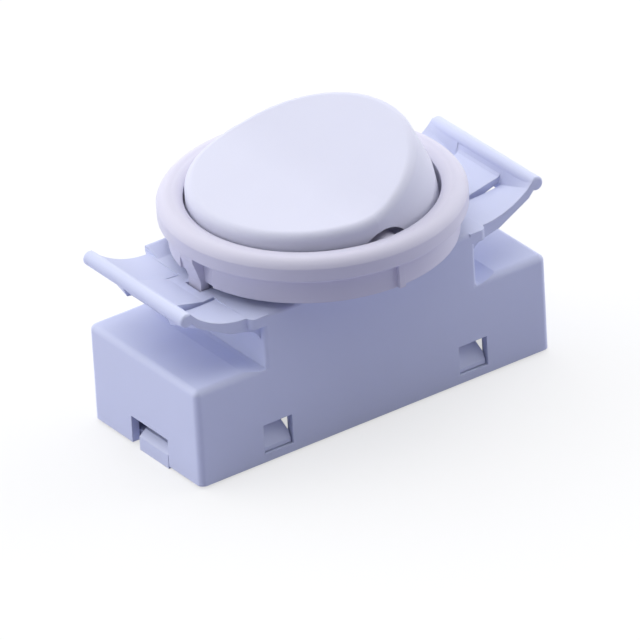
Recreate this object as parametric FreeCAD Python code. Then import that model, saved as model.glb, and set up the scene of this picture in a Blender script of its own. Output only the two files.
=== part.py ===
import FreeCAD, Part
import math
import os

# Lighted rocker switch for building into a panel from behind.
# Millimetres. +X runs along the long side, +Y to the rear, +Z up.
# The origin is the middle of the underside of the base.
# The rocker is modelled with its -X side pressed in.

V = FreeCAD.Vector
AXIS_X = V(1, 0, 0)
AXIS_Y = V(0, 1, 0)
AXIS_Z = V(0, 0, 1)

# Housing cover
body_length = 48.0
body_width = 20.9
body_height = 12.0
cover_wall = 1.0
cover_roof = 1.2
body_edge_round = 0.8
rim_drop = 0.35
block_height = 6.25
block_wall = 1.2
block_corner_round = 0.5
plate_opening_margin = 1.6

# Foot groove beside the raised block
groove_width = 2.9
groove_flat = 0.6
groove_depth = 0.5

# Hook windows in the long walls
window_width = 3.9
window_height = 3.65
window_sill = 1.05
window_offset = 13.4

# Notches in the end walls
notch_width = 7.1
notch_height = 3.4
notch_shift = -0.65

# Spring arms
arm_inset = 0.85
eave_reach = 1.7
eave_thickness = 1.3
eave_round = 0.8
dish_start_reach = 1.6
strip_inner_root = 3.6
strip_inner_tip = 4.2
slit_end_reach = 8.2
outer_dish = 10.5
outer_shoulder_angle = 120
inner_dish = 32.0
inner_dish_drop = 0.15
inner_shoulder_angle = 160
strip_root_depth = 1.7
strip_heel_reach = 4.0
outer_heel_drop = 1.15
inner_heel_drop = 1.25
strip_tip_depth = 1.25
slit_width = 0.35
tongue_crease_reach = 3.2
tongue_slope = 15.5
tongue_thickness = 1.3
tongue_tip_thickness = 0.7
bar_reach = 9.45
bar_rise = 2.45
bar_radius = 0.85
bar_end_round = 0.3
web_top_back = 0.8
web_top_rise = 0.5
gusset_drop = 3.4
gusset_reach = 1.7
gusset_hollow_out = 0.65
gusset_hollow_up = 1.15
rear_rib_width = 2.6
rear_rib_height = 0.6
rear_rib_overhang = 1.4
rear_rib_length = 3.4
rear_rib_slant = 0.3

# Bezel ring and collar
bore_radius = 14.4
ring_width = 3.0
ring_height = 2.65
ring_crown_reach = 1.7
ring_rim_drop = 0.95
ring_shoulder_reach = 0.45
ring_shoulder_drop = 0.3
ring_lip_reach = 0.5
ring_lip_rise = 0.3
ring_lip_drop = 0.4
flange_edge_round = 0.3
collar_step = 0.6
collar_wall = 1.3
collar_height = 3.1
collar_gap = 1.05
collar_rib_width = 0.8
collar_rib_rise = 0.5
collar_slot_width = 1.9
collar_recess_depth = 0.5
leg_width = 2.4
leg_step = 0.2
leg_hook_reach = 0.7
leg_hook_height = 1.4
leg_clearance = 0.2
leg_entry_slack = 0.1
leg_toe_width = 0.5
leg_hook_edge = 0.5
leg_foot_height = 1.0
leg_rim_inset = 0.15
leg_shoulder_drop = 0.4
leg_root_depth = 0.5
boss_radius = 2.6
boss_length = 2.4
boss_root = 0.6

# Rocker
tilt = 12.5
pivot_above_collar = 2.7
rocker_clearance = 0.25
rocker_valley_height = 5.3
rocker_face_slope = 8.9
rocker_valley_round = 15.0
rocker_rim_round = 1.0
rocker_rim_share = 0.8
rocker_wall = 1.3
rocker_roof = 1.5
skirt_floor_clearance = 0.35
pin_radius = 1.5
pin_clearance = 0.05
pin_past_wall = 0.5
pin_end_gap = 0.2
web_gap = 0.3
web_thickness = 1.4
web_half_length = 4.5
web_drop = 2.6
web_corner_round = 1.6
arch_radius = 3.5
sleeve_radius = 2.6
sleeve_drop = 4.8

# Plunger and its spring
plunger_radius = 1.55
plunger_clearance = 0.08
plunger_top = 0.6
plunger_neck_length = 1.0
spring_wire = 0.4
spring_turns = 4
spring_coil_radius = 1.05
spring_core_clearance = 0.1
spring_end_gap = 0.02
lever_gap = 0.05

# See-saw contact lever
lever_pivot_height = 12.2
lever_past_contact = 1.5
lever_width = 4.8
lever_thickness = 0.5
lever_lift = 0.3
lever_tilt = 6.0
lever_corner_round = 1.0
lever_neck_share = 0.8
bead_radius = 0.8
bead_clearance = 0.05
contact_reach = 7.5
contact_radius = 1.4
contact_head = 0.6
contact_shank_radius = 0.7
contact_edge_round = 0.25
upset_reach = 0.3
upset_height = 0.25
contact_clearance = 0.05
lever_stop_clearance = 0.12

# Brass strips
strip_thickness = 0.6
strip_width = 4.0
strip_bend_round = 0.5
saddle_half_length = 1.8
saddle_lead = 1.4
saddle_top_drop = 0.1
strip_under_bead = 0.4
load_pad_half_width = 2.2
load_pad_slant = 2.0
load_pad_chamfer = 1.5
lead_tab_outward = 0.6
lead_tab_inward = 1.2
lead_tab_margin = 0.5
neutral_tab_margin = 0.8
neutral_tab_length = 3.5
neutral_tab_flat = 2.6
neutral_tab_slant = 2.0
terminal_plate_foot = 2.4

# Terminals
terminal_end_gap = 1.2
terminal_row = 4.6
chamber_depth = 5.5
chamber_wall = 0.9
chamber_half_width = 2.2
wire_hole_radius = 1.3
wire_hole_gap = 0.15
leaf_thickness = 0.35
leaf_width = 3.6
leaf_top_gap = 1.0
leaf_bend = 0.8
leaf_fold_width = 2.9
leaf_tip_gap = 0.5
leaf_tip_rise = 2.6

# Base tray
floor_thickness = 1.6
tray_clearance = 0.2
tray_corner_round = 0.4
hook_thickness = 0.9
hook_nose = 0.75
hook_nose_lift = 0.15
hook_nose_face = 0.5
hook_nose_root = 0.1
hook_top_clearance = 0.55
hook_root = 0.4
hook_foot_half_width = 2.4
hook_top_half_width = 1.1
hook_side_clearance = 0.2
floor_slot_step = 0.9
floor_slot_length = 4.7
floor_slot_inner = 3.0
tab_clearance = 0.1
tab_side_gap = 1.4
tab_height = 1.7
tab_slope_reach = 0.9
tab_slope_rise = 0.7
pillar_half_length = 1.8

# Lamp parts
bulb_radius = 2.1
bulb_length = 10.5
bulb_row = 7.2
bulb_lift = 0.5
bulb_end_round = 0.6
resistor_radius = 1.1
resistor_length = 6.2
resistor_core_share = 0.85
resistor_cap_length = 1.4
resistor_edge_round = 0.3
lead_radius = 0.25
lead_drop_reach = 9.0
lead_bend_radius = 0.7
lead_hole_clearance = 0.35
link_setback = 0.4
link_slant = 2.5
cradle_width = 1.0
cradle_wall = 0.8
cradle_clearance = 0.1
cradle_grip_share = 0.3
bulb_cradle_share = 0.28
resistor_cradle_share = 0.3

# Overlap of the parts of one moulding, reach of cuts past a face, and closeness of a match
seam = 0.2
cut_past = 1.0
near = 0.01

# Heights and places worked out from the sizes above
rim_level = rim_drop
body_top = rim_level + body_height
plate_top = body_top + block_height
body_ceiling = body_top - cover_roof
plate_ceiling = plate_top - cover_roof
collar_bottom = plate_top + collar_gap
flange_level = collar_bottom + collar_height
pivot_level = collar_bottom + pivot_above_collar
ring_top = flange_level + ring_height
half_length = body_length / 2
half_width = body_width / 2
block_half = bore_radius
arm_half_width = half_width - arm_inset
collar_inner_radius = bore_radius + collar_step
collar_radius = collar_inner_radius + collar_wall
ring_radius = bore_radius + ring_width
leg_radius_in = collar_inner_radius + leg_step
leg_foot_radius = collar_radius
boss_reach = collar_inner_radius - boss_length
pin_reach = collar_inner_radius + pin_past_wall
rocker_radius = bore_radius - rocker_clearance
floor_top = floor_thickness
tray_half_length = half_length - cover_wall - tray_clearance
tray_half_width = half_width - cover_wall - tray_clearance
terminal_reach = tray_half_length - terminal_end_gap - chamber_wall - chamber_depth
wire_hole_reach = terminal_reach + strip_thickness + wire_hole_radius + wire_hole_gap
plate_opening_half = sleeve_radius + plate_opening_margin
cutter_reach = bore_radius + 2 * cut_past
lever_top = lever_lift + lever_thickness
lever_half_length = contact_reach + lever_past_contact
plunger_length_below = pivot_level - lever_pivot_height - lever_top - lever_gap
rocker_pivot = V(0, 0, pivot_level)
lever_pivot = V(0, 0, lever_pivot_height)
strip_level = lever_pivot_height - bead_radius - bead_clearance - strip_thickness - strip_under_bead
contact_drop = contact_reach * math.tan(math.radians(lever_tilt)) - lever_lift
contact_edge_drop = contact_radius * math.sin(math.radians(lever_tilt))
moving_contact_low = lever_pivot_height - contact_drop - contact_head - contact_edge_drop
fixed_contact_top = moving_contact_low - contact_clearance
lever_end_drop = lever_half_length * math.tan(math.radians(lever_tilt)) - lever_lift
load_strip_top = fixed_contact_top - contact_head
chamber_height = load_strip_top - strip_thickness
bulb_level = plate_top + bulb_lift + bulb_radius
resistor_level = plate_top + bulb_lift + resistor_radius
terminals = {"common": (1, terminal_row), "load": (-1, terminal_row), "neutral": (-1, -terminal_row)}


def box(x0, x1, y0, y1, z0, z1):
    """A block between two corners."""
    return Part.makeBox(x1 - x0, y1 - y0, z1 - z0, V(x0, y0, z0))


def mirrored(shape):
    """The same shape at the other end of the switch."""
    return shape.mirror(V(0, 0, 0), AXIS_X)


def prism_xz(points, y0, y1):
    """A prism along Y whose outline is given in the XZ plane."""
    corners = [V(x, y0, z) for x, z in points]
    face = Part.Face(Part.makePolygon(corners + corners[:1]))
    return face.extrude(V(0, y1 - y0, 0))


def prism_xy(points, z0, z1):
    """A prism along Z whose outline is given in the XY plane."""
    corners = [V(x, y, z0) for x, y in points]
    face = Part.Face(Part.makePolygon(corners + corners[:1]))
    return face.extrude(V(0, 0, z1 - z0))


def rounded(shape, radius, wanted):
    """Fillet the edges that a test picks out."""
    edges = [edge for edge in shape.Edges if wanted(edge)]
    return shape.makeFillet(radius, edges)


def is_along(edge, axis):
    """True for a straight edge parallel to an axis."""
    if not isinstance(edge.Curve, Part.Line):
        return False
    return abs(abs(edge.Curve.Direction.dot(axis)) - 1) < 1e-6


def middle(edge):
    """The midpoint of an edge."""
    return edge.valueAt((edge.FirstParameter + edge.LastParameter) / 2)


def at_rest_rocker(shape):
    """Turn a rocker piece from its middle position to its rest position."""
    return shape.rotated(rocker_pivot, AXIS_Y, -tilt)


def at_rest_lever(shape):
    """Turn a lever piece from its middle position to its rest position."""
    return shape.rotated(lever_pivot, AXIS_Y, lever_tilt)


def single(shape):
    """Join the pieces of one moulding and tidy its faces."""
    clean = shape.removeSplitter()
    solids = clean.Solids
    if len(solids) == 1:
        return solids[0]
    return clean


def save(name, shape):
    """Write one node."""
    solid = single(shape)
    solid.exportStep("parts/" + name + ".step")
    print(name, "solids", len(solid.Solids), "valid", solid.isValid())


def strip_section(root_y, tip_y, level, dish, heel_drop, shoulder_angle):
    """Closed section of a strip along one of its edges: dished top, tapered underside."""
    start_x = block_half + dish_start_reach
    tip_x = block_half + slit_end_reach
    half_x = (start_x + tip_x) / 2
    bar_x = block_half + bar_reach
    bar_z = plate_top + bar_rise

    def at(x, z):
        share = (x - start_x) / (tip_x - start_x)
        return V(x, root_y + (tip_y - root_y) * share, z)

    def dished(x):
        return level + dish - math.sqrt(dish ** 2 - (x - start_x) ** 2)

    angle = math.radians(shoulder_angle)
    tip = at(tip_x, dished(tip_x))
    top = Part.Arc(at(start_x, level), at(half_x, dished(half_x)), tip).toShape()
    rest = Part.makePolygon([
        tip,
        at(bar_x + bar_radius * math.cos(angle), bar_z + bar_radius * math.sin(angle)),
        at(bar_x, bar_z),
        at(tip_x, dished(tip_x) - strip_tip_depth),
        at(block_half + strip_heel_reach, plate_top - heel_drop),
        at(start_x, plate_top - strip_root_depth),
        at(start_x, level)])
    return Part.Wire([top] + rest.Edges)


def arm():
    """One spring arm: two dished strips and a tongue that share a round end bar."""
    outer = strip_section(arm_half_width, arm_half_width, plate_top, outer_dish, outer_heel_drop,
                          outer_shoulder_angle)
    inner = strip_section(strip_inner_root, strip_inner_tip, plate_top - inner_dish_drop, inner_dish,
                          inner_heel_drop, inner_shoulder_angle)
    rear_strip = Part.makeLoft([outer, inner], True, True)
    front_strip = rear_strip.mirror(V(0, 0, 0), AXIS_Y)
    bar_x = block_half + bar_reach
    bar_z = plate_top + bar_rise
    bar = Part.makeCylinder(bar_radius, 2 * arm_half_width, V(bar_x, -arm_half_width, bar_z), AXIS_Y)
    bar = rounded(bar, bar_end_round, lambda e: isinstance(e.Curve, Part.Circle))
    crease_x = block_half + tongue_crease_reach
    tip_x = block_half + slit_end_reach
    slope = math.tan(math.radians(tongue_slope))
    tip_z = plate_top + (tip_x - crease_x) * slope
    tip_under = tip_z - tongue_tip_thickness
    root_under = plate_top - tongue_thickness
    inside_x = block_half - block_wall / 2
    inner_rise = inner_dish - math.sqrt(inner_dish ** 2 - (tip_x - block_half) ** 2)
    web_low = plate_top + inner_rise - strip_tip_depth
    start_x = block_half + dish_start_reach
    root_half = strip_inner_root - slit_width
    tip_half = strip_inner_tip - slit_width
    side = [(inside_x, plate_top), (crease_x, plate_top), (tip_x, tip_z), (bar_x, bar_z + bar_radius / 2),
            (bar_x, bar_z), (tip_x, tip_under), (crease_x, root_under), (inside_x, root_under)]
    slab = prism_xz(side, -tip_half, tip_half)
    edge = [(inside_x, root_half), (start_x, root_half), (tip_x, tip_half), (bar_x, tip_half)]
    plan = prism_xy([(x, -y) for x, y in edge] + edge[::-1], body_top, ring_top)
    tongue = slab.common(plan)
    web_top = (bar_x - bar_radius * web_top_back, bar_z + bar_radius * web_top_rise)
    web = prism_xz([(tip_x, tip_under), web_top, (bar_x, bar_z), (tip_x, web_low)],
                   -strip_inner_tip, strip_inner_tip)
    eave = box(inside_x, block_half + eave_reach, -half_width, half_width, plate_top - eave_thickness,
               plate_top)
    eave = rounded(eave, eave_round, lambda e: is_along(e, AXIS_Z) and middle(e).x > block_half)
    return eave.fuse([rear_strip, front_strip, bar, tongue, web, gusset()])


def gusset():
    """Concave foot that carries an arm on the block's end wall."""
    wall_z = plate_top - gusset_drop
    inside_x = block_half - block_wall / 2
    end_x = block_half + gusset_reach
    end_z = plate_top - strip_root_depth
    through = V(block_half + gusset_hollow_out, 0, wall_z + gusset_hollow_up)
    hollow = Part.Arc(V(end_x, 0, end_z), through, V(block_half, 0, wall_z)).toShape()
    seam_z = plate_top - seam
    rest = Part.makePolygon([V(block_half, 0, wall_z), V(inside_x, 0, wall_z), V(inside_x, 0, seam_z),
                             V(end_x, 0, seam_z), V(end_x, 0, end_z)])
    face = Part.Face(Part.Wire([hollow] + rest.Edges))
    face.translate(V(0, -arm_half_width, 0))
    return face.extrude(V(0, 2 * arm_half_width, 0))


def cradle(row, radius, reach, centre):
    """Two saddles on the top plate that hold a round part along X."""
    outer = radius + cradle_clearance + cradle_wall
    blocks = []
    for side in (-1, 1):
        x = side * reach
        block = box(x - cradle_width / 2, x + cradle_width / 2, row - outer, row + outer, plate_top - seam,
                    centre + radius * cradle_grip_share)
        blocks.append(block)
    saddles = blocks[0].fuse(blocks[1])
    hollow = Part.makeCylinder(radius + cradle_clearance, 4 * reach, V(-2 * reach, row, centre), AXIS_X)
    return saddles.cut(hollow)


def housing_cover():
    """Upper moulding: long body, raised block, spring arms and lamp cradles."""
    body = box(-half_length, half_length, -half_width, half_width, rim_level, body_top)
    body = rounded(body, body_edge_round, lambda e: is_along(e, AXIS_Z) or middle(e).z > body_top - near)
    block = box(-block_half, block_half, -half_width, half_width, body_top - body_edge_round - seam,
                plate_top)
    block = rounded(block, block_corner_round, lambda e: is_along(e, AXIS_Z) or
                    (middle(e).z > plate_top - near and is_along(e, AXIS_X)))
    groove_bottom = body_top - groove_depth
    groove_top = body_top + cut_past
    groove = prism_xz([(block_half, groove_top), (block_half, groove_bottom),
                       (block_half + groove_flat, groove_bottom), (block_half + groove_width, body_top),
                       (block_half + groove_width, groove_top)], -body_width, body_width)
    body = body.cut(groove).cut(mirrored(groove))
    one_arm = arm()
    rib_end = block_half + rear_rib_overhang
    rib_inner = half_width - rear_rib_width
    rib_top = plate_top + rear_rib_height
    rib_side = [V(rib_end, rib_inner, plate_top - seam), V(rib_end, rib_inner, plate_top),
                V(rib_end, half_width - rear_rib_slant, rib_top), V(rib_end, half_width, rib_top),
                V(rib_end, half_width, plate_top - seam)]
    rib = Part.Face(Part.makePolygon(rib_side + rib_side[:1])).extrude(V(-rear_rib_length, 0, 0))
    shell = body.fuse([block, one_arm, mirrored(one_arm), rib, mirrored(rib)])
    cavity = box(-half_length + cover_wall, half_length - cover_wall, -half_width + cover_wall,
                 half_width - cover_wall, rim_level - cut_past, body_ceiling)
    upper = box(-block_half + block_wall, block_half - block_wall, -half_width + block_wall,
                half_width - block_wall, body_ceiling - cut_past, plate_ceiling)
    shell = shell.cut(cavity).cut(upper)
    shell = shell.cut(box(-lever_half_length, lever_half_length, -plate_opening_half, plate_opening_half,
                          plate_ceiling - cut_past, plate_top + cut_past))
    for side in (-1, 1):
        window_x = side * window_offset
        window = box(window_x - window_width / 2, window_x + window_width / 2, -body_width, body_width,
                     rim_level + window_sill, rim_level + window_sill + window_height)
        shell = shell.cut(window)
        end = side * half_length
        depth = cover_wall + cut_past
        notch = box(end - depth, end + depth, notch_shift - notch_width / 2, notch_shift + notch_width / 2,
                    rim_level - cut_past, rim_level + notch_height)
        shell = shell.cut(notch)
        shell = shell.cut(leg_slot(side))
    shell = shell.fuse(cradle(bulb_row, bulb_radius, bulb_length * bulb_cradle_share, bulb_level))
    shell = shell.fuse(cradle(-bulb_row, resistor_radius, resistor_length * resistor_cradle_share,
                              resistor_level))
    for row in (-bulb_row, bulb_row):
        hole = Part.makeCylinder(lead_radius + lead_hole_clearance, cover_roof + 2 * cut_past,
                                 V(-lead_drop_reach, row, plate_ceiling - cut_past))
        shell = shell.cut(hole)
    return shell


def leg_slot(side):
    """Hole beside the raised block for a bezel leg."""
    inner = leg_radius_in - leg_clearance
    outer = leg_foot_radius + leg_clearance + leg_entry_slack
    slot_half = leg_width / 2 + leg_clearance
    if side > 0:
        return box(inner, outer, -slot_half, slot_half, body_top + cut_past, ring_top)
    return box(-outer, -inner, -slot_half, slot_half, body_top + cut_past, ring_top)


def ring_section():
    """Half section of the bezel with its collar."""
    crown_r = ring_radius - ring_crown_reach
    inner_z = ring_top - ring_lip_drop
    outer_z = ring_top - ring_rim_drop
    points = [V(collar_inner_radius, 0, collar_bottom), V(collar_radius, 0, collar_bottom),
              V(collar_radius, 0, flange_level), V(ring_radius, 0, flange_level), V(ring_radius, 0, outer_z)]
    outline = Part.makePolygon(points).Edges
    shoulder = Part.Arc(V(ring_radius, 0, outer_z),
                        V(ring_radius - ring_shoulder_reach, 0, ring_top - ring_shoulder_drop),
                        V(crown_r, 0, ring_top)).toShape()
    crown = Part.Arc(V(crown_r, 0, ring_top), V(bore_radius + ring_lip_reach, 0, inner_z + ring_lip_rise),
                     V(bore_radius, 0, inner_z)).toShape()
    inside = Part.makePolygon([V(bore_radius, 0, inner_z), V(bore_radius, 0, flange_level),
                               V(collar_inner_radius, 0, flange_level - collar_step),
                               V(collar_inner_radius, 0, collar_bottom)]).Edges
    return Part.Face(Part.Wire(outline + [shoulder, crown] + inside))


def bezel_ring():
    """Round bezel, its collar with the rocker's bearings, and two snap legs."""
    ring = ring_section().revolve(V(0, 0, 0), AXIS_Z, 360)
    ring = rounded(ring, flange_edge_round, lambda e: abs(middle(e).z - flange_level) < near and
                   abs(math.hypot(middle(e).x, middle(e).y) - ring_radius) < near)
    hook_top = plate_top - strip_root_depth - leg_clearance
    hook_bottom = hook_top - leg_hook_height
    hook_radius = leg_foot_radius + leg_hook_reach
    leg_root = flange_level + leg_root_depth
    rim = ring_radius - leg_rim_inset
    toe = leg_foot_radius - leg_toe_width
    for side in (-1, 1):
        slot_half = leg_width / 2 + collar_slot_width
        slot = box(collar_radius - collar_recess_depth, ring_radius, -slot_half, slot_half,
                   collar_bottom - cut_past, flange_level)
        leg = prism_xz([(leg_radius_in, leg_root), (leg_radius_in, hook_bottom), (toe, hook_bottom),
                        (hook_radius, hook_top - leg_hook_edge), (hook_radius, hook_top),
                        (leg_foot_radius, hook_top), (leg_foot_radius, plate_top + leg_foot_height),
                        (rim, flange_level - leg_shoulder_drop), (rim, leg_root)],
                       -leg_width / 2, leg_width / 2)
        if side < 0:
            slot = mirrored(slot)
            leg = mirrored(leg)
        ring = ring.cut(slot).fuse(leg)
    for side in (-1, 1):
        boss = Part.makeCylinder(boss_radius, boss_length + boss_root, V(0, side * boss_reach, pivot_level),
                                 V(0, side, 0))
        ring = ring.fuse(boss)
        bore_start = boss_reach - cut_past
        bore = Part.makeCylinder(pin_radius + pin_clearance, pin_reach + pin_end_gap - bore_start,
                                 V(0, side * bore_start, pivot_level), V(0, side, 0))
        ring = ring.cut(bore)
        rib = box(-collar_rib_width / 2, collar_rib_width / 2, collar_radius - seam,
                  collar_radius + collar_rib_rise, collar_bottom, flange_level + seam)
        if side < 0:
            rib = rib.mirror(V(0, 0, 0), AXIS_Y)
        ring = ring.fuse(rib)
    return ring


def rocker_outline(radius, top_offset, reach_down):
    """Form that clears the bore with the rocker at either end of its travel."""
    form = None
    for turn in (-tilt, 0, tilt):
        bore = Part.makeCylinder(radius, 4 * bore_radius, V(0, 0, pivot_level - 2 * bore_radius))
        bore = bore.rotated(rocker_pivot, AXIS_Y, turn)
        if form is None:
            form = bore
        else:
            form = form.common(bore)
    slope = math.tan(math.radians(rocker_face_slope))
    valley = pivot_level + rocker_valley_height - top_offset
    reach = cutter_reach
    half_angle = math.radians(rocker_face_slope)
    run = rocker_valley_round * math.sin(half_angle)
    lift = rocker_valley_round * math.tan(half_angle) * math.sin(half_angle)
    sag = rocker_valley_round / math.cos(half_angle) - rocker_valley_round
    bottom = pivot_level - reach_down
    left = V(-run, 0, valley + run * slope)
    right = V(run, 0, valley + run * slope)
    low = V(0, 0, valley + sag)
    edges = [Part.makeLine(V(-reach, 0, bottom), V(-reach, 0, valley + reach * slope)),
             Part.makeLine(V(-reach, 0, valley + reach * slope), left),
             Part.Arc(left, low, right).toShape(),
             Part.makeLine(right, V(reach, 0, valley + reach * slope)),
             Part.makeLine(V(reach, 0, valley + reach * slope), V(reach, 0, bottom)),
             Part.makeLine(V(reach, 0, bottom), V(-reach, 0, bottom))]
    face = Part.Face(Part.Wire(edges))
    face.translate(V(0, -reach, 0))
    return form.common(face.extrude(V(0, 2 * reach, 0)))


def round_rim(form):
    """Round the rocker's top edge, one half at a time, and join the halves."""
    reach = cutter_reach
    rim_low = pivot_level + rocker_valley_height / 2
    rim_zone = rocker_radius * rocker_rim_share
    halves = []
    for side in (-1, 1):
        end = side * reach
        half = form.common(box(min(0, end), max(0, end), -reach, reach, 0, 2 * pivot_level))
        halves.append(rounded(half, rocker_rim_round, lambda e: middle(e).z > rim_low and
                              abs(middle(e).x) > rocker_rim_round and
                              math.hypot(middle(e).x, middle(e).y) > rim_zone))
    return halves[0].fuse(halves[1])


def rocker_cap():
    """Round rocker: shell, two bearing pins on webs, and the plunger's sleeve."""
    rise = math.tan(math.radians(tilt))
    skirt_drop = (pivot_level - plate_top - skirt_floor_clearance) / math.cos(math.radians(tilt))
    outer = round_rim(rocker_outline(rocker_radius, 0, skirt_drop))
    inner = rocker_outline(rocker_radius - rocker_wall, rocker_roof, skirt_drop + cut_past)
    cap = outer.cut(inner)
    reach = cutter_reach
    low = pivot_level - skirt_drop
    for side in (-1, 1):
        wedge = prism_xz([(0, low - cut_past), (0, low), (side * reach, low + reach * rise),
                          (side * reach, low - cut_past)], -reach, reach)
        cap = cap.cut(wedge)
    roof_under = pivot_level + rocker_valley_height - rocker_roof / 2
    for side in (-1, 1):
        y_out = side * (boss_reach - web_gap)
        y_in = y_out - side * web_thickness
        web = box(-web_half_length, web_half_length, min(y_in, y_out), max(y_in, y_out),
                  pivot_level - web_drop, roof_under)
        web = rounded(web, web_corner_round, lambda e: is_along(e, AXIS_Y) and middle(e).z < pivot_level)
        cap = cap.fuse(web)
        arch = Part.makeCylinder(arch_radius, reach, V(0, y_out, pivot_level), V(0, side, 0))
        below = box(-arch_radius, arch_radius, min(y_out, side * reach), max(y_out, side * reach),
                    low - 2 * cut_past, pivot_level)
        cap = cap.cut(arch).cut(below)
        pin_start = y_in + side * seam
        pin = Part.makeCylinder(pin_radius, pin_reach - abs(y_in) - seam, V(0, pin_start, pivot_level),
                                V(0, side, 0))
        cap = cap.fuse(pin)
    sleeve = Part.makeCylinder(sleeve_radius, roof_under - pivot_level + sleeve_drop,
                               V(0, 0, pivot_level - sleeve_drop))
    channel_top = pivot_level + rocker_valley_height - rocker_roof
    channel = Part.makeCylinder(plunger_radius + plunger_clearance, channel_top - pivot_level + sleeve_drop,
                                V(0, 0, pivot_level - sleeve_drop))
    cap = cap.fuse(sleeve).cut(channel)
    return at_rest_rocker(cap)


def plunger():
    """Round pin with a ball end that presses on the lever."""
    tip = pivot_level - plunger_length_below
    ball_level = tip + plunger_radius
    top = pivot_level + plunger_top
    pin = Part.makeCylinder(plunger_radius, top - ball_level, V(0, 0, ball_level))
    ball = Part.makeSphere(plunger_radius, V(0, 0, ball_level))
    neck = V(0, 0, top - plunger_neck_length)
    seat = Part.makeCylinder(plunger_radius + cut_past, plunger_neck_length, neck)
    core_radius = spring_coil_radius - spring_wire / 2 - spring_core_clearance
    core = Part.makeCylinder(core_radius, plunger_neck_length, neck)
    return at_rest_rocker(pin.fuse(ball).cut(seat).fuse(core))


def plunger_spring():
    """Coil spring between the plunger's shoulder and the rocker's roof."""
    inset = spring_wire / 2 + spring_end_gap
    low = pivot_level + plunger_top - plunger_neck_length + inset
    high = pivot_level + rocker_valley_height - rocker_roof - inset
    pitch = (high - low) / spring_turns
    path = Part.makeHelix(pitch, high - low, spring_coil_radius)
    path.translate(V(0, 0, low))
    start = V(spring_coil_radius, 0, low)
    along = V(0, 2 * math.pi * spring_coil_radius, pitch)
    section = Part.Wire([Part.makeCircle(spring_wire / 2, start, along)])
    coil = Part.Wire(path.Edges).makePipeShell([section], True, True)
    return at_rest_rocker(coil)


def contact_lever():
    """See-saw strip with a rolled bead on its underside."""
    low = lever_pivot_height + lever_lift
    plate = box(-lever_half_length, lever_half_length, -lever_width / 2, lever_width / 2, low,
                low + lever_thickness)
    plate = rounded(plate, lever_corner_round, lambda e: is_along(e, AXIS_Z))
    bead = Part.makeCylinder(bead_radius, lever_width, V(0, -lever_width / 2, lever_pivot_height), AXIS_Y)
    neck_half = bead_radius * lever_neck_share
    neck = box(-neck_half, neck_half, -lever_width / 2, lever_width / 2, lever_pivot_height,
               low + lever_thickness / 2)
    lever = plate.fuse([bead, neck])
    hole = Part.makeCylinder(contact_shank_radius, lever_thickness + 2 * cut_past,
                             V(-contact_reach, 0, low - cut_past))
    return at_rest_lever(lever.cut(hole))


def moving_contact():
    """Silver rivet under the lever's -X end."""
    low = lever_pivot_height + lever_lift
    head = Part.makeCylinder(contact_radius, contact_head, V(-contact_reach, 0, low - contact_head))
    head = rounded(head, contact_edge_round, lambda e: middle(e).z < low - contact_head + near)
    shank = Part.makeCylinder(contact_shank_radius, lever_thickness, V(-contact_reach, 0, low))
    upset = Part.makeCylinder(contact_shank_radius + upset_reach, upset_height,
                              V(-contact_reach, 0, low + lever_thickness))
    return at_rest_lever(head.fuse([shank, upset]))


def bent_strip(plan, level, plate_x, side, row):
    """Flat strip at one level with a plate bent down into a terminal."""
    flat = prism_xy(plan, level, level + strip_thickness)
    x0 = min(side * plate_x, side * (plate_x + strip_thickness))
    x1 = x0 + strip_thickness
    top = level + strip_thickness
    foot = box(x0, x1, row - strip_width / 2, row + strip_width / 2, terminal_plate_foot, top)
    strip = flat.fuse(foot).removeSplitter()
    corner_x = side * (plate_x + strip_thickness)
    return rounded(strip, strip_bend_round, lambda e: is_along(e, AXIS_Y) and
                   abs(middle(e).x - corner_x) < near and abs(middle(e).z - top) < near)


def common_strip():
    """Brass strip with the lever's saddle, running to the +X terminal."""
    half = lever_width / 2
    row_low = terminal_row - strip_width / 2
    row_high = terminal_row + strip_width / 2
    end = terminal_reach + strip_thickness
    lead = saddle_half_length + saddle_lead
    plan = [(-saddle_half_length, -half), (lead, -half), (lead, row_low), (end, row_low), (end, row_high),
            (-saddle_half_length, row_high)]
    strip = bent_strip(plan, strip_level, terminal_reach, 1, terminal_row)
    saddle = box(-saddle_half_length, saddle_half_length, -half, half, strip_level,
                 lever_pivot_height - saddle_top_drop)
    groove = Part.makeCylinder(bead_radius + bead_clearance, 2 * lever_width,
                               V(0, -lever_width, lever_pivot_height), AXIS_Y)
    return strip.fuse(saddle).cut(groove)


def load_strip():
    """Brass strip that carries the fixed contact, running to the -X terminal."""
    row_low = terminal_row - strip_width / 2
    row_high = terminal_row + strip_width / 2
    end = -(terminal_reach + strip_thickness)
    inner = -(contact_reach - pillar_half_length)
    tab = -(contact_reach + pillar_half_length)
    lead_y = bulb_row + lead_radius + lead_tab_margin
    lead_out = tab - lead_tab_outward
    lead_in = tab + lead_tab_inward
    plan = [(inner, -load_pad_half_width), (tab, -load_pad_half_width), (tab - load_pad_slant, row_low),
            (end, row_low), (end, row_high), (lead_out, row_high), (lead_out, lead_y), (lead_in, lead_y),
            (lead_in, row_high), (inner, row_high - load_pad_chamfer)]
    level = load_strip_top - strip_thickness
    strip = bent_strip(plan, level, terminal_reach, -1, terminal_row)
    hole = Part.makeCylinder(contact_shank_radius, strip_thickness + 2 * cut_past,
                             V(-contact_reach, 0, level - cut_past))
    return strip.cut(hole)


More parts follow.
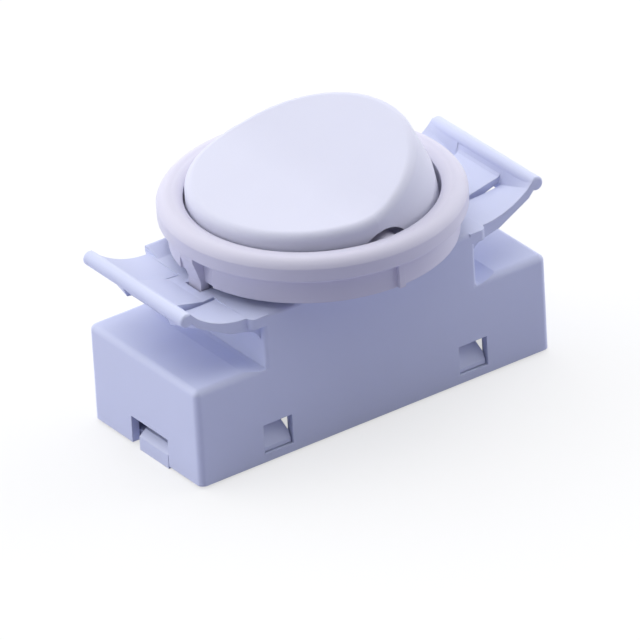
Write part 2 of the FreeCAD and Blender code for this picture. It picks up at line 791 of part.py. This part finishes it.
def neutral_strip():
    """Brass strip from the lamp's series resistor to its own terminal."""
    row_low = -terminal_row - strip_width / 2
    row_high = -terminal_row + strip_width / 2
    end = -(terminal_reach + strip_thickness)
    lead_x = -(lead_drop_reach - neutral_tab_margin)
    lead_y = -(bulb_row + neutral_tab_margin)
    plan = [(end, row_low), (lead_x - neutral_tab_length, row_low), (lead_x - neutral_tab_flat, lead_y),
            (lead_x, lead_y), (lead_x, lead_y + neutral_tab_slant), (lead_x - neutral_tab_slant, row_high),
            (end, row_high)]
    return bent_strip(plan, load_strip_top - strip_thickness, terminal_reach, -1, -terminal_row)


def fixed_contact():
    """Silver rivet in the load strip."""
    top = load_strip_top
    head = Part.makeCylinder(contact_radius, contact_head, V(-contact_reach, 0, top))
    head = rounded(head, contact_edge_round, lambda e: middle(e).z > top + contact_head - near)
    shank = Part.makeCylinder(contact_shank_radius, strip_thickness,
                              V(-contact_reach, 0, top - strip_thickness))
    return head.fuse(shank)


def clamp_leaf(side, row):
    """Spring leaf that holds a wire against a terminal plate."""
    wall_x = terminal_reach + chamber_depth
    t = leaf_thickness
    foot = floor_top
    top = chamber_height - leaf_top_gap
    bend = leaf_bend
    tip_x = terminal_reach + strip_thickness + leaf_tip_gap
    tip_z = foot + leaf_tip_rise
    fold_x = wall_x - leaf_fold_width
    points = [(wall_x - t, foot), (wall_x, foot), (wall_x, top - bend), (wall_x - bend, top),
              (fold_x + bend, top), (fold_x, top - bend), (tip_x, tip_z), (tip_x + t, tip_z - t),
              (fold_x + t, top - bend - t), (fold_x + bend + t / 2, top - t),
              (wall_x - bend - t / 2, top - t), (wall_x - t, top - bend - t / 2)]
    leaf = prism_xz(points, row - leaf_width / 2, row + leaf_width / 2)
    if side < 0:
        leaf = mirrored(leaf)
    return leaf


def hook(side_x, side_y):
    """Snap hook of the base that catches a window of the cover."""
    wall_y = tray_half_width
    top = rim_level + window_sill + window_height - hook_top_clearance
    nose_low = rim_level + window_sill + hook_nose_lift
    root = floor_top - hook_root
    outline = [(-hook_foot_half_width, root), (hook_foot_half_width, root), (hook_top_half_width, top),
               (-hook_top_half_width, top)]
    stem = prism_xz(outline, wall_y - hook_thickness, wall_y)
    nose_half = window_width / 2 - hook_side_clearance
    nose_root = wall_y - hook_nose_root
    nose_tip = wall_y + tray_clearance + hook_nose
    section = [V(-nose_half, nose_root, nose_low), V(-nose_half, nose_tip, nose_low),
               V(-nose_half, nose_tip, nose_low + hook_nose_face), V(-nose_half, nose_root, top)]
    nose = Part.Face(Part.makePolygon(section + section[:1])).extrude(V(2 * nose_half, 0, 0))
    taper = prism_xz(outline, 0, body_width)
    piece = stem.fuse(nose.common(taper))
    if side_y < 0:
        piece = piece.mirror(V(0, 0, 0), AXIS_Y)
    piece.translate(V(side_x * window_offset, 0, 0))
    return piece


def chamber(side, row):
    """Walls that hold a terminal plate and its spring leaf."""
    inner0 = terminal_reach
    inner1 = terminal_reach + chamber_depth
    height = chamber_height
    side_out = chamber_half_width + chamber_wall
    walls = box(inner0 - chamber_wall, inner1 + chamber_wall, row - side_out, row + side_out,
                floor_top - seam, height)
    hollow = box(inner0, inner1, row - chamber_half_width, row + chamber_half_width, floor_top - 2 * seam,
                 height + cut_past)
    walls = walls.cut(hollow)
    if side < 0:
        walls = mirrored(walls)
    return walls


def base_tray():
    """Lower moulding: floor, snap hooks, end tabs, pillars and terminal chambers."""
    tray = box(-tray_half_length, tray_half_length, -tray_half_width, tray_half_width, 0, floor_top)
    tray = rounded(tray, tray_corner_round, lambda e: is_along(e, AXIS_Z))
    for side_x in (-1, 1):
        for side_y in (-1, 1):
            tray = tray.fuse(hook(side_x, side_y))
        tab = end_tab()
        if side_x < 0:
            tab = mirrored(tab)
        tray = tray.fuse(tab)
        slot_x = side_x * window_offset + hook_top_half_width + floor_slot_step
        slot = box(slot_x, slot_x + floor_slot_length, -body_width, -floor_slot_inner, -cut_past,
                   floor_top + near)
        tray = tray.cut(slot)
    pillars = [(-contact_reach, load_strip_top - strip_thickness),
               (0, strip_level),
               (contact_reach, lever_pivot_height - lever_end_drop - lever_stop_clearance)]
    for x, height in pillars:
        tray = tray.fuse(box(x - pillar_half_length, x + pillar_half_length, -lever_width / 2,
                             lever_width / 2, floor_top - seam, height))
    for side, row in terminals.values():
        tray = tray.fuse(chamber(side, row))
        tray = tray.cut(Part.makeCylinder(wire_hole_radius, floor_top + 2 * cut_past,
                                          V(side * wire_hole_reach, row, -cut_past)))
    return tray


def end_tab():
    """Tab of the base that fills the notch in an end wall."""
    y0 = notch_shift - notch_width / 2 + tab_clearance
    y1 = notch_shift + notch_width / 2 - tab_side_gap
    x_in = tray_half_length - seam
    top = tab_height + tab_slope_rise
    side = [(x_in, 0), (half_length, 0), (half_length, tab_height), (half_length - tab_slope_reach, top),
            (x_in, top)]
    return prism_xz(side, y0, y1)


def neon_lamp():
    """Sealed glass bulb lying in its cradle."""
    half = bulb_length / 2
    tube = Part.makeCylinder(bulb_radius, bulb_length - bulb_radius, V(-half, bulb_row, bulb_level), AXIS_X)
    tube = rounded(tube, bulb_end_round, lambda e: middle(e).x < -half + near)
    dome = Part.makeSphere(bulb_radius, V(half - bulb_radius, bulb_row, bulb_level))
    return tube.fuse(dome)


def resistor():
    """Series resistor lying in its cradle."""
    half = resistor_length / 2
    row = -bulb_row
    core_radius = resistor_radius * resistor_core_share
    core = Part.makeCylinder(core_radius, resistor_length, V(-half, row, resistor_level), AXIS_X)
    parts = []
    for x in (-half, half - resistor_cap_length):
        cap = Part.makeCylinder(resistor_radius, resistor_cap_length, V(x, row, resistor_level), AXIS_X)
        parts.append(rounded(cap, resistor_edge_round, lambda e: isinstance(e.Curve, Part.Circle)))
    return core.fuse(parts)


def wire(points, radius):
    """Round wire along straight runs joined by tangent arcs."""
    path = []
    start = points[0]
    for index in range(1, len(points) - 1):
        corner = points[index]
        back = (points[index - 1] - corner).normalize()
        ahead = (points[index + 1] - corner).normalize()
        half_turn = (math.pi - back.getAngle(ahead)) / 2
        reach = lead_bend_radius * math.tan(half_turn)
        first = corner + back * reach
        last = corner + ahead * reach
        inward = (back + ahead).normalize()
        centre_distance = lead_bend_radius / math.cos(half_turn)
        mid = corner + inward * (centre_distance - lead_bend_radius)
        path.append(Part.makeLine(start, first))
        path.append(Part.Arc(first, mid, last).toShape())
        start = last
    path.append(Part.makeLine(start, points[-1]))
    direction = (points[1] - points[0]).normalize()
    section = Part.Wire([Part.makeCircle(radius, points[0], direction)])
    return Part.Wire(path).makePipeShell([section], True, False)


def lamp_leads():
    """The lamp's three wires: to the load strip, to the resistor, to the neutral strip."""
    half = bulb_length / 2
    half_resistor = resistor_length / 2
    down = load_strip_top
    link_x = lead_drop_reach - link_setback
    load = wire([V(-half, bulb_row, bulb_level), V(-lead_drop_reach, bulb_row, bulb_level),
                 V(-lead_drop_reach, bulb_row, down)], lead_radius)
    link = wire([V(half, bulb_row, bulb_level), V(link_x, bulb_row, bulb_level),
                 V(link_x, bulb_row - link_slant, resistor_level), V(link_x, -bulb_row, resistor_level),
                 V(half_resistor, -bulb_row, resistor_level)], lead_radius)
    neutral = wire([V(-half_resistor, -bulb_row, resistor_level),
                    V(-lead_drop_reach, -bulb_row, resistor_level), V(-lead_drop_reach, -bulb_row, down)],
                   lead_radius)
    return load, link, neutral


def build():
    """Build and write every node."""
    os.makedirs("parts", exist_ok=True)
    save("housing_cover", housing_cover())
    save("base_tray", base_tray())
    save("bezel_ring", bezel_ring())
    save("rocker_cap", rocker_cap())
    save("plunger", plunger())
    save("plunger_spring", plunger_spring())
    save("contact_lever", contact_lever())
    save("moving_contact", moving_contact())
    save("common_strip", common_strip())
    save("load_strip", load_strip())
    save("neutral_strip", neutral_strip())
    save("fixed_contact", fixed_contact())
    for name, (side, row) in terminals.items():
        save(name + "_clamp_leaf", clamp_leaf(side, row))
    save("neon_lamp", neon_lamp())
    save("lamp_resistor", resistor())
    load, link, neutral = lamp_leads()
    save("lamp_lead_load", load)
    save("lamp_lead_link", link)
    save("lamp_lead_neutral", neutral)


build()
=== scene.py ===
import math

import bpy
from mathutils import Matrix, Vector


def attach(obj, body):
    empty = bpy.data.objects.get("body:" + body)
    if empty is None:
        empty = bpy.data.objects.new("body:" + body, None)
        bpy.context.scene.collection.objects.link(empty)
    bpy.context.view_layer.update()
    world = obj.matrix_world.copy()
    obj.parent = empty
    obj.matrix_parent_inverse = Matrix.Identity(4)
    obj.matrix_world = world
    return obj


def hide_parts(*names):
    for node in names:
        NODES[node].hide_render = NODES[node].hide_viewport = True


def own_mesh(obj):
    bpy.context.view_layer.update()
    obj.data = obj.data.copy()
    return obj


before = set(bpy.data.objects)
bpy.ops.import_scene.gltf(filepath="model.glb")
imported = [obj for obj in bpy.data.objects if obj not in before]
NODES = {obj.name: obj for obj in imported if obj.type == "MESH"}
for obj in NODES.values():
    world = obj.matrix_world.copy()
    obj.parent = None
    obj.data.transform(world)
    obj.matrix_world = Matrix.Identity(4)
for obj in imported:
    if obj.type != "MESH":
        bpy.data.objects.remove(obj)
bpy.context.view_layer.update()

MM = 0.001

# Camera, read from the photo's perspective: angles in degrees, lens and sensor in millimetres
CAMERA_PLACE = Vector((-585.06, -868.71, 598.06)) * MM
CAMERA_LENS = 604.9
CAMERA_SENSOR_WIDTH = 36
CAMERA_AZIMUTH = -33.962
CAMERA_ELEVATION = 29.383
CAMERA_ROLL = -3.352
CAMERA_NEAREST = 0.01
CAMERA_FARTHEST = 20

# Plastics: material, colour, roughness, share of light that enters, slot and nodes
PLASTICS = (
    ("housing_white", (0.66, 0.695, 0.885), 0.42, 0.10, "housing_plastic", ("housing_cover", "base_tray")),
    ("bezel_white", (0.675, 0.655, 0.77), 0.38, 0.10, "bezel_plastic", ("bezel_ring",)),
    ("rocker_white", (0.675, 0.68, 0.80), 0.36, 0.25, "rocker_plastic", ("rocker_cap",)),
    ("plunger_cream", (0.70, 0.68, 0.62), 0.45, 0.0, "plunger_plastic", ("plunger",)),
    ("resistor_tan", (0.55, 0.40, 0.22), 0.35, 0.0, "resistor_body", ("lamp_resistor",)),
)
PLASTIC_IOR = 1.49
PLASTIC_SPECULAR = 0.4
PLASTIC_LIGHT_RADIUS = (1.0, 0.95, 0.9)
PLASTIC_LIGHT_DEPTH = 0.6 * MM
PLASTIC_ROUGHNESS_SPREAD = 0.05
PLASTIC_BUMP = 0.05

# Slow drift of a plastic's colour, and its fine grain
DRIFT_SCALE = 90
DRIFT_DETAIL = 2
DRIFT_DARKEST = 0.975
DRIFT_LIGHTEST = 1.02
GRAIN_SCALE = 6000
GRAIN_DETAIL = 3

# Edges of the mouldings look slightly rounded
EDGE_RADIUS = 0.13 * MM
EDGE_SAMPLES = 4

# Metals: material, colour, roughness, streak scale, slot and nodes
METALS = (
    ("strip_brass", (0.78, 0.57, 0.25), 0.30, 900, "brass",
     ("contact_lever", "common_strip", "load_strip", "neutral_strip")),
    ("contact_silver", (0.84, 0.83, 0.80), 0.25, 1500, "contact_metal", ("moving_contact", "fixed_contact")),
    ("spring_steel", (0.55, 0.55, 0.56), 0.28, 1200, "spring_steel",
     ("plunger_spring", "common_clamp_leaf", "load_clamp_leaf", "neutral_clamp_leaf")),
    ("tinned_wire", (0.70, 0.70, 0.71), 0.35, 1500, "lead_wire",
     ("lamp_lead_load", "lamp_lead_link", "lamp_lead_neutral")),
)
STREAK_DETAIL = 4
METAL_SMOOTHER = 0.08
METAL_ROUGHER = 0.12
METAL_BUMP = 0.1

# Lamp glass: a faint warm tint and nearly smooth
GLASS_TINT = (0.98, 0.90, 0.84)
GLASS_CLEARNESS = 0.9
GLASS_IOR = 1.47
GLASS_NOISE_SCALE = 2500
GLASS_NOISE_DETAIL = 2
GLASS_SMOOTHEST = 0.03
GLASS_ROUGHEST = 0.08

# Height of the fine bumps in plastic and metal
BUMP_HEIGHT = 0.01 * MM

# Floor: its own colour lights the object, and the camera sees it white with a faint shadow
FLOOR_SIZE = 6
FLOOR_COLOUR = (0.45, 0.46, 0.62)
FLOOR_ROUGHNESS = 0.9
FLOOR_SPECULAR = 0.1
SHOWN_FLOOR_COLOUR = (0.9, 0.9, 0.9)
SHADOW_SHARE = 0.35

# Background: white at a strength of 1
BACKGROUND_COLOUR = (1, 1, 1)
BACKGROUND_STRENGTH = 1.0

# Sky: soft lobes, each with its direction, sharpness and strength
SKY_COLOUR = (0.96, 0.97, 1.0)
SKY_LOBES = {
    "up": ((0, 0, 1), 8.0, 2.6),
    "left_back": ((-0.8, 0.55, 0.25), 6.0, 2.15),
    "right": ((0.97, -0.1, 0.25), 6.0, 2.9),
    "back": ((0, 0.9, 0.43), 4.0, 1.95),
}


def new_material(name):
    """An empty node material with a surface shader."""
    material = bpy.data.materials.new(name)
    material.use_nodes = True
    tree = material.node_tree
    tree.nodes.clear()
    output = tree.nodes.new("ShaderNodeOutputMaterial")
    shader = tree.nodes.new("ShaderNodeBsdfPrincipled")
    tree.links.new(shader.outputs["BSDF"], output.inputs["Surface"])
    return material, tree, shader


def add_noise(tree, scale, detail):
    """Noise from 0 to 1 in the object's own coordinates."""
    place = tree.nodes.new("ShaderNodeTexCoord")
    noise = tree.nodes.new("ShaderNodeTexNoise")
    noise.inputs["Scale"].default_value = scale
    noise.inputs["Detail"].default_value = detail
    tree.links.new(place.outputs["Object"], noise.inputs["Vector"])
    return noise.outputs["Fac"]


def vary_roughness(tree, shader, noise, low, high):
    """Let the roughness follow a noise between two values."""
    spread = tree.nodes.new("ShaderNodeMapRange")
    spread.inputs["To Min"].default_value = low
    spread.inputs["To Max"].default_value = high
    tree.links.new(noise, spread.inputs["Value"])
    tree.links.new(spread.outputs["Result"], shader.inputs["Roughness"])


def add_bump(tree, shader, noise, strength):
    """Give the surface a shallow bump from a noise, and return the bump's node."""
    bump = tree.nodes.new("ShaderNodeBump")
    bump.inputs["Strength"].default_value = strength
    bump.inputs["Distance"].default_value = BUMP_HEIGHT
    tree.links.new(noise, bump.inputs["Height"])
    tree.links.new(bump.outputs["Normal"], shader.inputs["Normal"])
    return bump


def plastic(name, colour, roughness, light_share):
    """Moulded plastic: fine grain, slow colour drift and softened edges."""
    material, tree, shader = new_material(name)
    shader.inputs["IOR"].default_value = PLASTIC_IOR
    shader.inputs["Specular IOR Level"].default_value = PLASTIC_SPECULAR
    shader.inputs["Subsurface Weight"].default_value = light_share
    shader.inputs["Subsurface Radius"].default_value = PLASTIC_LIGHT_RADIUS
    shader.inputs["Subsurface Scale"].default_value = PLASTIC_LIGHT_DEPTH
    tone = tree.nodes.new("ShaderNodeMix")
    tone.data_type = "RGBA"
    tone.inputs["A"].default_value = (*[part * DRIFT_DARKEST for part in colour], 1)
    tone.inputs["B"].default_value = (*[min(1, part * DRIFT_LIGHTEST) for part in colour], 1)
    tree.links.new(add_noise(tree, DRIFT_SCALE, DRIFT_DETAIL), tone.inputs["Factor"])
    tree.links.new(tone.outputs["Result"], shader.inputs["Base Color"])
    grain = add_noise(tree, GRAIN_SCALE, GRAIN_DETAIL)
    vary_roughness(tree, shader, grain, roughness - PLASTIC_ROUGHNESS_SPREAD,
                   roughness + PLASTIC_ROUGHNESS_SPREAD)
    edges = tree.nodes.new("ShaderNodeBevel")
    edges.samples = EDGE_SAMPLES
    edges.inputs["Radius"].default_value = EDGE_RADIUS
    bump = add_bump(tree, shader, grain, PLASTIC_BUMP)
    tree.links.new(edges.outputs["Normal"], bump.inputs["Normal"])
    return material


def metal(name, colour, roughness, streak_scale):
    """Stamped or drawn metal with fine streaks."""
    material, tree, shader = new_material(name)
    shader.inputs["Metallic"].default_value = 1.0
    shader.inputs["Base Color"].default_value = (*colour, 1)
    grain = add_noise(tree, streak_scale, STREAK_DETAIL)
    vary_roughness(tree, shader, grain, roughness - METAL_SMOOTHER, roughness + METAL_ROUGHER)
    add_bump(tree, shader, grain, METAL_BUMP)
    return material


def lamp_glass(name):
    """Clear glass with a faint warm tint."""
    material, tree, shader = new_material(name)
    shader.inputs["Base Color"].default_value = (*GLASS_TINT, 1)
    shader.inputs["Transmission Weight"].default_value = GLASS_CLEARNESS
    shader.inputs["IOR"].default_value = GLASS_IOR
    noise = add_noise(tree, GLASS_NOISE_SCALE, GLASS_NOISE_DETAIL)
    vary_roughness(tree, shader, noise, GLASS_SMOOTHEST, GLASS_ROUGHEST)
    return material


def paint(material, names):
    """Give CAD nodes a material."""
    for name in names:
        node = NODES[name]
        node.data.materials.clear()
        node.data.materials.append(material)


def paint_nodes():
    """Give every CAD node its material."""
    for name, colour, roughness, light_share, slot_name, nodes in PLASTICS:
        paint(plastic(name, colour, roughness, light_share), nodes)
    for name, colour, roughness, streak_scale, slot_name, nodes in METALS:
        paint(metal(name, colour, roughness, streak_scale), nodes)
    paint(lamp_glass("bulb_glass"), ("neon_lamp",))


def build_spring():
    """The plunger's spring: a copy of its mesh, attached to the rocker's body in place of the hidden CAD
    spring.
    """
    source = NODES["plunger_spring"]
    spring = bpy.data.objects.new("plunger_coil", source.data.copy())
    bpy.context.scene.collection.objects.link(spring)
    spring.matrix_world = source.matrix_world
    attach(spring, "rocker")
    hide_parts("plunger_spring")
    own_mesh(spring)


def math_node(tree, operation, first, second):
    """One step of arithmetic on two sockets, or on a socket and a number."""
    node = tree.nodes.new("ShaderNodeMath")
    node.operation = operation
    tree.links.new(first, node.inputs[0])
    if isinstance(second, bpy.types.NodeSocket):
        tree.links.new(second, node.inputs[1])
    else:
        node.inputs[1].default_value = second
    return node.outputs["Value"]


def mix_shaders(tree, first, second):
    """A node that mixes two shaders."""
    mix = tree.nodes.new("ShaderNodeMixShader")
    tree.links.new(first, mix.inputs[1])
    tree.links.new(second, mix.inputs[2])
    return mix


def show_background(tree, output, lighting, shown):
    """Light the object with one shader, and show another to the camera, mirrors and glass."""
    path = tree.nodes.new("ShaderNodeLightPath")
    seen = path.outputs["Is Camera Ray"]
    for name in ("Is Glossy Ray", "Is Transmission Ray"):
        seen = math_node(tree, "MAXIMUM", seen, path.outputs[name])
    mix = mix_shaders(tree, lighting, shown)
    tree.links.new(seen, mix.inputs["Fac"])
    tree.links.new(mix.outputs["Shader"], output.inputs["Surface"])


def add_background(tree, kind):
    """The output of a new plain white emitter or background node."""
    plain = tree.nodes.new(kind)
    plain.inputs["Color"].default_value = (*BACKGROUND_COLOUR, 1)
    plain.inputs["Strength"].default_value = BACKGROUND_STRENGTH
    return plain.outputs[0]


def build_floor():
    """A wide pale floor that shows as white with the object's faint shadow."""
    bpy.ops.mesh.primitive_plane_add(size=FLOOR_SIZE, location=(0, 0, 0))
    floor = bpy.context.object
    floor.name = "floor"
    material, tree, shader = new_material("floor_pale")
    shader.inputs["Base Color"].default_value = (*FLOOR_COLOUR, 1)
    shader.inputs["Roughness"].default_value = FLOOR_ROUGHNESS
    shader.inputs["Specular IOR Level"].default_value = FLOOR_SPECULAR
    shaded = tree.nodes.new("ShaderNodeBsdfDiffuse")
    shaded.inputs["Color"].default_value = (*SHOWN_FLOOR_COLOUR, 1)
    shown = mix_shaders(tree, add_background(tree, "ShaderNodeEmission"), shaded.outputs["BSDF"])
    shown.inputs["Fac"].default_value = SHADOW_SHARE
    output = next(node for node in tree.nodes if node.type == "OUTPUT_MATERIAL")
    show_background(tree, output, shader.outputs["BSDF"], shown.outputs["Shader"])
    floor.data.materials.append(material)


def sky_lobe(tree, ray, direction, sharpness, strength):
    """Brightness that falls off softly round one direction."""
    facing = tree.nodes.new("ShaderNodeVectorMath")
    facing.operation = "DOT_PRODUCT"
    facing.inputs[1].default_value = direction
    tree.links.new(ray, facing.inputs[0])
    ahead = math_node(tree, "MAXIMUM", facing.outputs["Value"], 0)
    fall = math_node(tree, "POWER", ahead, sharpness)
    return math_node(tree, "MULTIPLY", fall, strength)


def build_world():
    """A soft studio sky of a few lobes that shows as plain white."""
    world = bpy.data.worlds.new("studio")
    bpy.context.scene.world = world
    world.use_nodes = True
    tree = world.node_tree
    tree.nodes.clear()
    output = tree.nodes.new("ShaderNodeOutputWorld")
    place = tree.nodes.new("ShaderNodeTexCoord")
    lobes = [sky_lobe(tree, place.outputs["Generated"], *lobe) for lobe in SKY_LOBES.values()]
    total = lobes[0]
    for lobe in lobes[1:]:
        total = math_node(tree, "ADD", total, lobe)
    light = tree.nodes.new("ShaderNodeBackground")
    light.inputs["Color"].default_value = (*SKY_COLOUR, 1)
    tree.links.new(total, light.inputs["Strength"])
    show_background(tree, output, light.outputs["Background"], add_background(tree, "ShaderNodeBackground"))


def build_camera():
    """The photo's camera."""
    azimuth = math.radians(CAMERA_AZIMUTH)
    elevation = math.radians(CAMERA_ELEVATION)
    roll = math.radians(CAMERA_ROLL)
    back = Vector((math.sin(azimuth) * math.cos(elevation), -math.cos(azimuth) * math.cos(elevation),
                   math.sin(elevation)))
    right = Vector((math.cos(azimuth), math.sin(azimuth), 0))
    up = back.cross(right)
    level = math.cos(roll) * right + math.sin(roll) * up
    top = math.cos(roll) * up - math.sin(roll) * right
    data = bpy.data.cameras.new("photo_camera")
    data.lens = CAMERA_LENS
    data.sensor_width = CAMERA_SENSOR_WIDTH
    data.clip_start = CAMERA_NEAREST
    data.clip_end = CAMERA_FARTHEST
    camera = bpy.data.objects.new("photo_camera", data)
    bpy.context.scene.collection.objects.link(camera)
    turn = Matrix((level, top, back)).transposed().to_4x4()
    camera.matrix_world = Matrix.Translation(CAMERA_PLACE) @ turn
    bpy.context.scene.camera = camera


paint_nodes()
build_spring()
build_floor()
build_world()
build_camera()
bpy.context.scene.view_settings.view_transform = "Standard"
